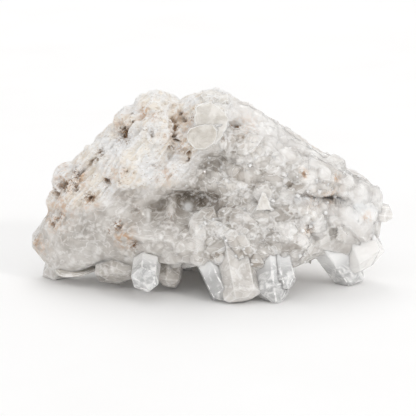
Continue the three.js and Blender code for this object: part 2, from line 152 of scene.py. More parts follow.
# The blades behind the crest and under the left end, as (centre, facing, width, height, thickness, turn).
BLADES = [
    ((1, -2.5, 62), (0.1, -0.6, 0.8), 11, 7, 4, 5),
    ((-45, -3.5, 5.2), (-0.05, -0.35, 1), 15, 9, 1.6, 6),
]
BLADE_SIDES, BLADE_UNEVEN, BLADE_WAVE, BLADE_TOP = 28, (0.84, 1), 0.06, 0.52
# The layers of a blade from back to front, as (share of its size, share of its thickness).
BLADE_LAYERS = ((0.4, -0.5), (0.5, -0.1), (0.49, 0.2), (0.43, 0.45), (0.25, 0.5))

# The CAD's two front blades and its bright facet with their real outlines in x and z, as
# (a place on the face, facing, how pale, outline).
PLATES = [
    ((-0.2, -11.9, 56.6), (0.2, -1, 0.3), 0.75, [
        (-5.2, 62), (-3, 63), (-1.4, 62.8), (-0.2, 63.3), (2.7, 61.3), (4.4, 59.7), (5.6, 57.8), (5, 56),
        (5.3, 54.7), (4.1, 53.4), (3.4, 51.6), (1.4, 49.8), (-3, 50.5), (-5, 55), (-5.8, 57.5), (-5.4, 59.5),
    ]),
    ((-3.2, -15, 52.6), (0.1, -0.9, 0.3), 0.3, [
        (-7, 55.4), (-4.4, 56.1), (-1.2, 56.6), (0.6, 56.3), (1.6, 54.9), (1.9, 52.8), (0.8, 50.4),
        (-2.1, 48.6), (-5.4, 49.1), (-7.8, 51.2), (-8.3, 53.8),
    ]),
    ((16.5, -18.2, 31), (-0.1, -1, 0.15), 0.9, [(16.4, 35.2), (17.4, 34.6), (19.5, 29.4), (14.1, 28.9)]),
]
# The layers of a plate from back to front, as (share of its outline, level, unevenness).
PLATE_LAYERS = (
    (0.75, -4.5, 0), (0.97, -1.2, 0.1), (1, -0.5, 0.1),
    (0.95, 0, 0.05), (0.8, 0.06, 0.04), (0.5, 0.15, 0.025),
)
PLATE_TOP, CHIP_STEP, CHIP_SIZE = 0.3, 0.8, 0.17
# How a point's faces differ, as shares of its termination's height or of its width.
SHOULDER_UNEVEN, TIP_OFF_CENTRE, TIP_LEAN = 0.35, 0.28, 1.3
CUT_DROP, CUT_UNEVEN = 0.12, 0.15

# Crust patches as (centre, reach, turn, count, smallest and largest width, lean).
CRUST = [
    ((22.5, 46), (16, 7.5), -38, 24, (4, 8), (0.3, 0, 0.5)),
    ((12, 32), (10, 8), 0, 16, (4, 7.5), (0, 0, 0.1)),
    ((32, 24), (11, 8), 0, 17, (4, 7), (0.3, 0, -0.1)),
    ((49, 28), (7, 8), 0, 16, (3.5, 6.5), (0.6, 0, 0.3)),
    ((12, 14.5), (20, 4), 0, 11, (3.5, 6), (0, 0, -0.5)),
    ((-6, 23), (13, 4), 5, 8, (3, 5.5), (0, 0, 0.4)),
]
CRUST_LENGTH, CRUST_POINT, CRUST_CUT, CRUST_LEAN = (0.1, 0.42), (0.45, 0.8), 0.45, 0.7
EVEN_STEPS = (0.7548776662, 0.569840291)  # these spread any number of points evenly over a patch

# ---- Crystals that the CAD leaves out, spread at random ----
# As (count, smallest and largest width, smallest and largest share of the width that stands out, lean).
MEDIUM_CRYSTALS = (300, (2.8, 7), (0, 0.12), 0.5)
SMALL_CRYSTALS = (220, (1.6, 3.2), (0, 0.25), 0.7)
FINE_CRYSTALS = (240, (0.5, 1.3), (0, 0.35), 0.7)
# How wide the worn edges of the separate crystals are.
CLEAR_WEAR, MILKY_WEAR, BLADE_WEAR = 0.3, 0.25, 0.2


# ---- Repeatable chance and noise ----
HASH_STEPS, HASH_START, HASH_SCALE = (127.1, 311.7, 74.7), 11.7, 43758.5453


def chance(n):
    s = math.sin(n * HASH_STEPS[0] + HASH_START) * HASH_SCALE
    return s - math.floor(s)


def lattice(cell, salt=0.0):
    """A number from -1 to 1 for each row of whole numbers in cell."""
    s = np.sin(cell @ HASH_STEPS + salt) * HASH_SCALE
    return 2 * (s - np.floor(s)) - 1


def seeded(seed):
    return np.random.default_rng(seed)


def ease(t):
    return t * t * (3 - 2 * t)


def smoothstep(x, start, end):
    return ease(np.clip((x - start) / (end - start), 0, 1))


def mix(a, b, t):
    return a + (b - a) * t


def noise(p):
    """Smooth noise from -1 to 1 with bumps one unit across."""
    cell = np.floor(p)
    f = ease(p - cell)
    total = np.zeros(len(p))
    for corner in itertools.product((0, 1), repeat=3):
        weight = np.prod(np.where(corner, f, 1 - f), axis=1)
        total += weight * lattice(cell + corner)
    return total


def fractal(p, wavelength, octaves):
    return sum(noise(p * (2**n / wavelength)) / 2**n for n in range(octaves))


# ---- The lump ----
def outline_reach(angle):
    """Distance from the heart to the outline at each angle."""
    a = np.array(OUTLINE, float) - HEART
    e = np.roll(a, -1, axis=0) - a
    start = np.arctan2(a[:, 1], a[:, 0])
    turn = (angle - start[0]) % (2 * np.pi)
    n = np.searchsorted((start - start[0]) % (2 * np.pi), turn, side="right") - 1
    a, e = a[n], e[n]
    cross = np.cos(angle) * e[:, 1] - np.sin(angle) * e[:, 0]
    return (a[:, 0] * e[:, 1] - a[:, 1] * e[:, 0]) / cross


def reach_at(angle, spread):
    """How far from the heart a point is at spread, 0 at the heart and 1 at the outline."""
    steps = np.linspace(-SMOOTHING_REACH, SMOOTHING_REACH, SMOOTHING_SAMPLES)
    smooth = np.mean([outline_reach(angle + step) for step in steps], axis=0)
    exact = outline_reach(angle)
    return spread * smooth + (exact - smooth) * spread**SMOOTHING_RIM


def outline_depth(x, z):
    low = smoothstep(EDGE_TOP - z, 0, EDGE_TOP - EDGE_BOTTOM)
    spread = np.where(x < EDGE_AT, EDGE_SPREAD_LEFT, EDGE_SPREAD_RIGHT)
    middle = np.exp(-(((x - EDGE_AT) / spread) ** 2) / 2)
    left = CREST_LEFT_END * smoothstep(-x, CREST_LEFT_FROM, CREST_LEFT_TO)
    return CREST_Y + left - EDGE_FORWARD * low * middle


def relief(patches, x, z):
    """Sum of the patches' depths at each (x, z)."""
    total = np.zeros(len(x))
    for px, pz, reach_along, reach_across, turn, depth in patches:
        t = math.radians(turn)
        along = ((x - px) * math.cos(t) + (z - pz) * math.sin(t)) / reach_along
        across = ((z - pz) * math.cos(t) - (x - px) * math.sin(t)) / reach_across
        total += depth * np.exp(-(along**2) - across**2)
    return total


def spots(patches, x, z):
    """The strongest of the round patches at each (x, z), from 0 to 1."""
    strongest = np.zeros(len(x))
    for px, pz, reach, strength in patches:
        share = strength * np.exp(-((x - px) ** 2 + (z - pz) ** 2) / reach**2)
        strongest = np.maximum(strongest, share)
    return strongest


def left_of(a, b, x, z):
    """How far each (x, z) is to the left of the line from a to b."""
    run, rise = b[0] - a[0], b[1] - a[1]
    return (run * (z - a[1]) - rise * (x - a[0])) / math.hypot(run, rise)


def matrix_share(x, z):
    a, b, c = MATRIX_LINE
    return smoothstep(np.minimum(left_of(a, b, x, z), left_of(b, c, x, z)), -MATRIX_BLEND, MATRIX_BLEND)


def onto_lump(d):
    """Moves points of the unit sphere to their places on the lump, as the CAD does."""
    front = d[:, 1] < 0
    squareness = np.where(front, FRONT_SQUARENESS, BACK_SQUARENESS)
    angle = np.arctan2(d[:, 2], d[:, 0])
    rise = np.abs(d[:, 1]) ** (2 / squareness)
    reach = reach_at(angle, np.hypot(d[:, 0], d[:, 2]) ** (2 / squareness))
    x = HEART[0] + reach * np.cos(angle)
    z = HEART[1] + reach * np.sin(angle)
    inward = smoothstep(rise, 0, INWARD)
    low = BACK_LOW * smoothstep(HEART[1] + BACK_LOW_TOP - z, 0, BACK_LOW_FADE)
    in_front = inward * relief(FRONT_RELIEF, x, z) - FRONT_BULGE * rise
    behind = inward * relief(BACK_RELIEF, x, z) + (BACK_BULGE + low) * rise
    p = np.stack([x, outline_depth(x, z) + np.where(front, in_front, behind), z], axis=1)
    break_faces(p)
    roughen(p, d)
    grow_foot(p)
    return p


def break_faces(p):
    for facing, distance in BROKEN_FACES:
        n = np.array(facing) / np.linalg.norm(facing)
        outside = np.maximum(0, (p - (HEART[0], 0, HEART[1])) @ n - distance)
        p -= outside[:, None] * n * (1 - BROKEN_FACE_KEEPS)


def roughen(p, d):
    front = mix(ROUGH_QUARTZ, ROUGH_MATRIX, matrix_share(p[:, 0], p[:, 2]))
    height = mix(front, ROUGH_BACK, smoothstep(d[:, 1], 0, BACK_ROUGH))
    p += d * (height * fractal(p, ROUGH_WAVE, ROUGH_OCTAVES))[:, None]


def grow_foot(p):
    off = ((p[:, 0] - FOOT_X) / FOOT_SPREAD_X) ** 2 + ((p[:, 1] - FOOT_Y) / FOOT_SPREAD_Y) ** 2
    p[:, 2] -= FOOT_DROP * np.exp(-off) * smoothstep(HEART[1] - p[:, 2], 0, FOOT_FADE)


def front_direction(x, z):
    """The directions of the unit sphere whose places on the front of the lump are near (x, z)."""
    angle = np.arctan2(z - HEART[1], x - HEART[0])
    reach = np.hypot(x - HEART[0], z - HEART[1])
    low, high = np.zeros(len(x)), np.ones(len(x))
    for _ in range(HALVINGS):
        middle = (low + high) / 2
        short = reach_at(angle, middle) < reach
        low, high = np.where(short, middle, low), np.where(short, high, middle)
    ring = low ** (FRONT_SQUARENESS / 2)
    return np.stack([ring * np.cos(angle), -np.sqrt(1 - ring**2), ring * np.sin(angle)], axis=1)


def front_seat(x, z, around):
    """The place on the front of the lump near (x, z), and the way that the lump faces around it."""
    xs = x + np.array([0, around, -around, 0, 0])
    zs = z + np.array([0, 0, 0, around, -around])
    centre, right, left, above, below = onto_lump(front_direction(xs, zs))
    facing = np.cross(right - left, above - below)
    return Vector(centre), Vector(facing).normalized()


# ---- Colours that lie on the lump's front ----
# Clearer quartz darkened to grey-brown, partly its own tone and partly painted shade in recesses, pockets and
# under ledges; where negative, whiter quartz, partly painted light on the right end and the slopes; as the
# relief above.
SMOKE_AND_PAINTED_LIGHT = [
    (-27, 32, 6.5, 2.4, -8, 0.9),  # smooth window below the matrix
    (-8, 43, 9, 5, -20, 1.1),  # face below the blades
    (4, 44, 5, 3, 40, 0.5),
    (-3, 31, 7, 3, -15, 1.7),  # recess
    (2, 32, 4, 2.5, -15, 0.6),
    (-12, 29, 5, 4.5, 0, 0.6),
    (-18.4, 27.4, 3, 3, 0, 0.5),
    (-1, 26.3, 3, 3, 0, 0.5),
    (-25, 25, 3, 4, 0, 0.6),
    (-40, 22, 6, 3.2, 5, 0.6),  # clouds in the left body
    (-45, 17, 3, 2.5, 0, 0.5),
    (27, 38.5, 7, 2.2, 80, 0.6),  # beside the pitted lump
    (19.5, 34, 2.5, 1.6, 90, 0.7),
    (36.5, 30.7, 4.5, 2.6, -20, 0.4),  # dark pocket
    (41, 31.8, 3, 1.5, 135, 0.5),
    (30, 27.5, 4, 1.6, -10, 0.8),
    (39.5, 20.5, 4, 2.2, 70, 0.7),
    (16.3, 32.3, 2.5, 2.5, 0, -0.6),  # bright facet
    (28.7, 30.6, 4, 1.8, -12, -0.8),  # ledge
    (-7.7, 27.9, 1.4, 1, 10, -2.4),  # bright crystals in the recess
    (-20.6, 26, 2, 0.8, 100, -0.9),
    (-3.4, 26.5, 1.4, 0.7, 40, -1.6),
    (9.5, 25, 3, 3, 0, -0.5),
    (50, 26, 9, 9, 0, -0.9),  # right end
    (34, 26, 16, 14, 0, -0.45),  # right half
    (26, 48, 14, 5, -38, -0.6),  # slope to the right
    (13, 56, 9, 4, -35, -0.7),
    (-9, 11.5, 4, 1, 10, -0.8),
]
# Where the crust leaves the quartz smooth.
SMOOTH = [
    (47, 14, 8, 8, 0, 1),  # big prism at the right end
    (27, 11, 12, 3, 10, 0.8),  # lower edge of the body
    (-3, 40, 8, 5, 35, 0.7),  # face below the blades
    (12, 57, 8, 4, -35, 0.9),  # ridge right of the blades
    (28, 47, 15, 4, -38, 0.6),  # slope to the right
]
# Iron stains as (x, z, reach, strength).
BROWN = [
    (-43.8, 37.2, 2, 1), (-45.6, 34.8, 1.8, 1), (-44.4, 33.2, 1.3, 1), (-46.6, 32.6, 1.2, 0.9),
    (-49, 32.6, 2, 1), (-51.5, 30.5, 1.6, 0.9), (-39.9, 31.5, 2.2, 1), (-34.4, 37.1, 1.3, 1),
    (-30, 37.1, 1, 1), (-29.2, 52.6, 2.4, 1), (-28.5, 51, 1.6, 1), (-29.9, 50, 1.4, 0.8),
    (-27.4, 49.5, 1, 0.9), (-26, 57.2, 0.9, 1), (-25.9, 55.8, 0.9, 1), (-12.9, 55.6, 1.2, 1),
    (-11.6, 54.2, 1, 0.9), (-12.5, 53.3, 0.9, 1), (-10.2, 57.9, 0.7, 0.7), (-8.9, 56.2, 0.7, 0.6),
    (-7.3, 58.8, 0.8, 0.9), (-6, 57.1, 0.9, 1), (-3.7, 58.6, 0.9, 0.9), (-11.9, 51.8, 0.9, 0.9),
    (-11.2, 50.5, 0.9, 1), (-14.1, 48.9, 1, 0.9), (-12.8, 47.7, 1.3, 1), (-8.3, 46.3, 1.1, 0.9),
    (-7.7, 44, 0.9, 0.8), (-10.2, 47.1, 1, 0.7), (-19.6, 53.4, 0.8, 1), (-19.5, 52.4, 0.8, 1),
    (-21.6, 54.3, 0.9, 0.8), (-49.8, 24.2, 1.6, 1), (-50.6, 22.6, 1.4, 1), (-52.2, 20.8, 1.2, 0.9),
    (-58.7, 13.7, 2.2, 0.6), (-30.4, 23.6, 2, 1), (-25.5, 17.1, 2, 0.9), (-33, 21.2, 0.9, 0.9),
    (-36.5, 45.2, 1.6, 0.8), (-38, 43, 1.2, 0.8), (-39.5, 41.5, 1, 0.7), (8.3, 53.7, 1.2, 1),
    (6.3, 54.3, 1, 0.9), (3.4, 51.1, 0.9, 0.9), (30.6, 22.1, 1.4, 1), (-18.4, 42.4, 1.2, 0.5),
    (-28, 41.1, 1.2, 0.6), (-24.5, 28, 1.6, 0.6), (-13.5, 26, 1.6, 0.6), (30, 39.6, 1.1, 0.9),
]
ORANGE = [
    (-22.3, 58.5, 2.2, 0.9), (-18.7, 57.8, 1.4, 0.8), (-28.1, 19.7, 3.2, 0.8), (29.9, 39.6, 1.1, 1),
    (39.6, 37, 1.1, 0.8), (-48.5, 34.5, 3, 0.8), (-42.6, 36.4, 2.5, 0.8), (-50, 27, 4.5, 0.6),
    (-40, 29.5, 3, 0.6), (-9, 56, 5, 0.5), (-9, 49, 4, 0.5), (-14, 52, 4, 0.3), (-52, 22, 4, 0.5),
    (-48, 38, 4, 0.4), (10.8, 53.6, 4, 0.3), (-15.1, 39.2, 3.5, 0.45), (-31, 39.5, 5, 0.35),
    (-58.5, 13, 4, 0.6), (30.5, 21, 1.4, 0.5), (38.5, 31.6, 3, 0.5), (33, 31.2, 3, 0.4), (50, 24, 1.6, 0.4),
    (-30, 55, 4, 0.35), (-46, 42, 5, 0.3),
]


# ---- Finer forms of the lump ----
LUMP_FREQUENCY = 99  # divisions along each edge of the sphere's twenty triangles
FRONT_FINENESS = 0.8
GRAIN_TURN, GRAIN_STRETCH = math.radians(52), 3
# Where the front's zones give way to the back's, along the sphere's own Y.
BACK_BLEND = (-0.05, 0.15)
BACK_MATRIX, BACK_MATRIX_VARIES, BACK_MATRIX_SIZE = 0.75, 0.25, 14
# Where the crust begins along X, how far its border waves and in waves of what size.
CRUST_BLEND, CRUST_WAVE, CRUST_WAVE_SIZE = (-14, 4), 3, 6
CRUST_LESS_BEHIND = 0.6
# How the blocks of a druse differ: how far they are moved and tipped, and how much some stand out.
DRUSE_MOVED, DRUSE_TIPPED, DRUSE_STEP, DRUSE_MIDDLE = 0.38, 1.2, 0.15, 0.45
MOVE_SALTS, TURN_SALT, TIP_SALT, STEP_SALT = (1.3, 2.9, 4.1), 5.7, 6.3, 7.9
# How far a crystal pushes the surface out at the most, as a share of its width, and how much of that stays.
MOST_OUT, OUT_KEEPS, SMALL_OUT_KEEPS = 0.6, 0.6, 0.25
LEAST_SPEED = 0.05
FACING_FRONT = (0.1, 0.4)  # where medium crystals begin and are at their most, by how the surface faces
EDGE_PASSES, CAVITY_PASSES = 3, 60


def even_sphere(frequency):
    """Directions and triangles of an evenly divided sphere."""
    g = (1 + math.sqrt(5)) / 2
    corners = [(s, t * g, 0) for s in (-1, 1) for t in (-1, 1)]
    corners = np.array(corners + [(c, a, b) for a, b, c in corners] + [(b, c, a) for a, b, c in corners])
    apart = np.linalg.norm(corners[:, None] - corners, axis=2)
    rows, triangles = [], []
    for a, b, c in itertools.combinations(range(12), 3):
        if max(apart[a, b], apart[b, c], apart[a, c]) > 2.1:  # the edges are 2 long
            continue
        if np.dot(np.cross(corners[b] - corners[a], corners[c] - corners[a]), corners[a]) < 0:
            b, c = c, b
        first = len(rows)
        index = {}
        for i in range(frequency + 1):
            for j in range(frequency + 1 - i):
                index[i, j] = first + len(index)
                k = frequency - i - j
                rows.append(corners[a] * k + corners[b] * i + corners[c] * j)
        for i, j in index:
            if i + j < frequency:
                triangles.append((index[i, j], index[i + 1, j], index[i, j + 1]))
            if i + j < frequency - 1:
                triangles.append((index[i + 1, j], index[i + 1, j + 1], index[i, j + 1]))
    rows = np.array(rows) / frequency
    _, keep, where = np.unique(np.round(rows, 6), axis=0, return_index=True, return_inverse=True)
    directions = rows[keep]
    directions /= np.linalg.norm(directions, axis=1)[:, None]
    return directions, where.reshape(-1)[np.array(triangles)]


def finer_in_front(d):
    """Moves points of the unit sphere towards the front, so that more of them lie there."""
    share = (1 - d[:, 1]) / 2
    y = 1 - 2 * (share + FRONT_FINENESS * share * (1 - share))
    ring = np.hypot(d[:, 0], d[:, 2])
    scale = np.sqrt(np.maximum(0, 1 - y**2)) / np.maximum(ring, 1e-9)
    return np.stack([d[:, 0] * scale, y, d[:, 2] * scale], axis=1)


def normals_of(points, triangles):
    a, b, c = (points[triangles[:, n]] for n in range(3))
    face = np.cross(b - a, c - a)
    total = np.zeros_like(points)
    for n in range(3):
        np.add.at(total, triangles[:, n], face)
    return total / np.maximum(np.linalg.norm(total, axis=1), 1e-12)[:, None]


def druse(p, size):
    """Relief like a crust of blocky crystal corners, each about size across, from about -0.5 to 0.5."""
    q = p / size
    cell = np.floor(q)
    best = np.full(len(p), -np.inf)
    for step in itertools.product((-1, 0, 1), repeat=3):
        c = cell + step
        shift = np.stack([lattice(c, salt) for salt in MOVE_SALTS], axis=1)
        away = q - (c + 0.5 + DRUSE_MOVED * shift)
        turn, tip = lattice(c, TURN_SALT) * math.pi, lattice(c, TIP_SALT) * DRUSE_TIPPED
        ct, st, cp, sp = np.cos(turn), np.sin(turn), np.cos(tip), np.sin(tip)
        u = away[:, 0] * ct + away[:, 1] * st
        v = away[:, 1] * ct - away[:, 0] * st
        w = away[:, 2] * cp - u * sp
        u = u * cp + away[:, 2] * sp
        block = np.maximum(np.maximum(np.abs(u), np.abs(v)), np.abs(w))
        best = np.maximum(best, DRUSE_STEP * lattice(c, STEP_SALT) - block)
    return best + DRUSE_MIDDLE


def ridged(p, wavelength):
    return 1 - 3 * np.abs(noise(p / wavelength))


def along_grain(p):
    """The points drawn together along the grain of the matrix, which rises to the right."""
    c, s = math.cos(GRAIN_TURN), math.sin(GRAIN_TURN)
    along = (p[:, 0] * c + p[:, 2] * s) / GRAIN_STRETCH
    return np.stack([along, p[:, 1], p[:, 2] * c - p[:, 0] * s], axis=1)


def pits(p, wavelength, share):
    """1 in scattered pits, 0 between them."""
    return smoothstep(noise(p / wavelength + 31.7), share, share + 0.25)


def zones(p, d):
    """How much each point belongs to the matrix, to the crystal crust and to the smooth milky quartz."""
    x, z = p[:, 0], p[:, 2]
    back = smoothstep(d[:, 1], *BACK_BLEND)
    behind = BACK_MATRIX + BACK_MATRIX_VARIES * noise(p / BACK_MATRIX_SIZE)
    matrix = mix(matrix_share(x, z), behind, back)
    crust = (1 - matrix) * smoothstep(x + CRUST_WAVE * noise(p / CRUST_WAVE_SIZE), *CRUST_BLEND)
    crust *= 1 - CRUST_LESS_BEHIND * back
    crust *= 1 - np.clip(relief(SMOOTH, x, z), 0, 1) * (1 - back)
    return matrix, crust, 1 - matrix - crust


def finer_forms(p, shares, brown):
    """Height in mm of the lump's finer forms over the CAD's surface. Each term is a height times a form whose
    own number is its size in mm."""
    matrix, crust, milky = shares
    q = along_grain(p)
    torn = smoothstep(noise(q / 1.3 + 3.1), -0.15, 0.35)
    crumbs = 0.5 * ridged(q, 2.6) + 0.3 * ridged(q + 9, 1.3) + 0.15 * noise(p / 0.7)
    crumbs -= 0.8 * pits(q, 1.7, 0.4) + 0.4 * pits(q, 0.8, 0.35)
    crumbs -= 2.2 * brown * torn
    corners = 0.65 * druse(p, 7) + 0.3 * druse(p, 3.4) + 0.04 * noise(p / 0.7)
    swells = 1.6 * druse(p, 8.5) + 0.3 * druse(p, 3.2) + 0.12 * noise(p / 1.1)
    swells -= 1.2 * brown * torn
    return matrix * crumbs + crust * corners + milky * swells


# ---- Meshes ----
BOX_MARGIN = 0.02
WORN_ANGLE = math.radians(25)


def clamp_to_box(points):
    """Keeps points in mm inside the CAD's box, as the CAD's own trimming does."""
    low = np.array([BOX_MARGIN - LENGTH / 2, BOX_MARGIN - DEPTH / 2, 0])
    high = np.array([LENGTH / 2, DEPTH / 2, HEIGHT]) - BOX_MARGIN
    return np.clip(points, low, high)


def make_piece(name, points, faces, material, attributes):
    """A mesh object from points in mm, that rides with the cluster."""
    mesh = bpy.data.meshes.new(name)
    mesh.from_pydata((clamp_to_box(points) * MM).tolist(), [], [list(map(int, f)) for f in faces])
    for key, values in attributes.items():
        layer = mesh.attributes.new(key, "FLOAT", "POINT")
        layer.data.foreach_set("value", np.asarray(values, dtype=np.float32))
    mesh.materials.append(material)
    piece = bpy.data.objects.new(name, mesh)
    bpy.context.collection.objects.link(piece)
    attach(piece, "root")
    return piece


def turn_towards(axis, roll):
    """The turn that takes +Z to axis, rolled about it by roll degrees."""
    return Vector((0, 0, 1)).rotation_difference(axis) @ Quaternion((0, 0, 1), math.radians(roll))


def crystal_planes(root, tip, width, _, point, cut, roll):
    """Outward normals and distances from the root of the faces of one crystal, as thick as it is wide."""
    axis = Vector(tip) - Vector(root)
    length = axis.length
    turn = turn_towards(axis, roll)
    slope = math.atan2(width / 2, point)
    shoulder = length - point * (1 - cut)
    normals, distances = [turn @ Vector((0, 0, 1))], [length]
    for n in range(6):
        a = (n + 0.5) * math.pi / 3
        side = Vector((math.sin(a), -math.cos(a), 0))
        normals.append(turn @ side)
        distances.append(width / 2)
        normals.append(turn @ (side * math.cos(slope) + Vector((0, 0, math.sin(slope)))))
        distances.append(width / 2 * math.cos(slope) + shoulder * math.sin(slope))
    return np.array(normals), np.array(distances)


def push_out(points, ways, crystals):
    """How far each point has to go its way to come out of the crystals that it lies in, with the tone of the
    crystal that it comes out of and its place along that crystal."""
    out, tone, along = np.zeros(len(points)), np.full(len(points), 0.5), np.zeros(len(points))
    for number, crystal in enumerate(crystals):
        root, width = np.array(crystal[0]), crystal[2]
        normals, distances = crystal_planes(*crystal)
        near = np.nonzero(np.linalg.norm(points - root, axis=1) < distances[0] + width)[0]
        room = distances - (points[near] - root) @ normals.T
        inside = (room > 0).all(axis=1)
        near, room = near[inside], room[inside]
        speed = ways[near] @ normals.T
        travel = np.where(speed > LEAST_SPEED, room / np.maximum(speed, LEAST_SPEED), np.inf).min(axis=1)
        travel = np.minimum(travel, MOST_OUT * width)
        further = travel > out[near]
        near, travel = near[further], travel[further]
        out[near] = travel
        tone[near] = chance(number + 0.5)
        along[near] = (points[near] + ways[near] * travel[:, None] - root) @ normals[0]
    return out, tone, along


def at_random(surface, weight, rng, count, widths, stand, lean):
    """Small crystals on the surface, more of them where weight is high, leaning at random."""
    points, normals, triangles = surface
    a, b, c = (points[triangles[:, n]] for n in range(3))
    area = np.linalg.norm(np.cross(b - a, c - a), axis=1)
    likely = area * weight[triangles].mean(axis=1)
    chosen = triangles[rng.choice(len(triangles), size=count, p=likely / likely.sum())]
    share = rng.dirichlet((1, 1, 1), size=count)[:, :, None]
    places = (share * points[chosen]).sum(axis=1)
    facings = (share * normals[chosen]).sum(axis=1)
    for place, facing in zip(places, facings):
        w = mix(*widths, rng.random() ** 2)
        axis = facing + rng.normal(0, lean, 3)
        axis /= np.linalg.norm(axis)
        tip = place + axis * (w * rng.uniform(*stand))
        point, cut, roll = w * rng.uniform(0.25, 0.8), rng.choice((0, 0.7)), rng.uniform(0, 60)
        yield place - axis * w, tip, w, 1, point, cut, roll


def smoothed(points, triangles, passes):
    """The points after each has moved to the middle of its neighbours, passes times over."""
    start, end = triangles.reshape(-1), np.roll(triangles, -1, axis=1).reshape(-1)
    count = np.bincount(start, minlength=len(points))
    for _ in range(passes):
        sums = [np.bincount(start, points[end, n], len(points)) for n in range(3)]
        points = np.stack(sums, axis=1) / count[:, None]
    return points


def make_lump(material):
    """The fused rock. Gives its surface and how much of the crust each of its points has."""
    even, triangles = even_sphere(LUMP_FREQUENCY)
    d = finer_in_front(even)
    base = onto_lump(d)
    ways = normals_of(base, triangles)
    shares = zones(base, d)
    matrix, crust, _ = shares
    facing_front = smoothstep(-ways[:, 1], *FACING_FRONT)

    surface = base, ways, triangles
    rng = seeded(7)
    grown = push_out(base, ways, [*crust_points(), *FUSED_POINTS.values()])
    medium = push_out(base, ways, at_random(surface, crust**2 * facing_front, rng, *MEDIUM_CRYSTALS))
    small = push_out(base, ways, at_random(surface, crust, rng, *SMALL_CRYSTALS))
    wins = medium[0] > grown[0]
    out, tone, along = (np.where(wins, new, old) for new, old in zip(medium, grown))
    out = OUT_KEEPS * out + SMALL_OUT_KEEPS * small[0]
    tone = np.where(small[0] > 0.3, mix(tone, small[1], 0.6), tone)

    x, z = base[:, 0], base[:, 2]
    front = smoothstep(-d[:, 1], -0.1, 0.2)
    behind = (1 - front) * smoothstep(noise(base / 11 + 5.3), 0, 0.5)
    brown = np.maximum(front * spots(BROWN, x, z), behind * smoothstep(noise(base / 2.4), 0.35, 0.7))
    orange = np.maximum(front * spots(ORANGE, x, z), 0.35 * behind)
    shaped = base + ways * (out + finer_forms(base, shares, brown))[:, None]
    normals = normals_of(shaped, triangles)
    edge = ((shaped - smoothed(shaped, triangles, EDGE_PASSES)) * normals).sum(axis=1)
    cavity = ((smoothed(shaped, triangles, CAVITY_PASSES) - shaped) * ways).sum(axis=1) * mix(0.3, 1, front)
    attributes = {
        "matrix": matrix, "crust": crust, "tone": tone, "along": along, "edge": edge, "cavity": cavity,
        "shade": front * relief(SMOKE_AND_PAINTED_LIGHT, x, z), "brown": brown, "orange": orange,
    }
    piece = make_piece("quartz_lump", shaped, triangles, material, attributes)
    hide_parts("quartz_cluster")
    return (shaped, normals, triangles), crust


def wear_edges(mesh, width):
    """Bevels the sharp edges of the mesh by width mm, and marks the new faces as its rim."""
    work = bmesh.new()
    work.from_mesh(mesh)
    rim = work.faces.layers.float.new("rim")
    sharp = [edge for edge in work.edges if edge.calc_face_angle(0) > WORN_ANGLE]
    size = {"offset": width * MM, "segments": 1, "clamp_overlap": True}
    worn = bmesh.ops.bevel(work, geom=sharp, affect="EDGES", **size)
    for face in worn["faces"]:
        face[rim] = 1
    for corner in work.verts:
        corner.co = clamp_to_box(np.array(corner.co) / MM) * MM
    work.to_mesh(mesh)
    work.free()


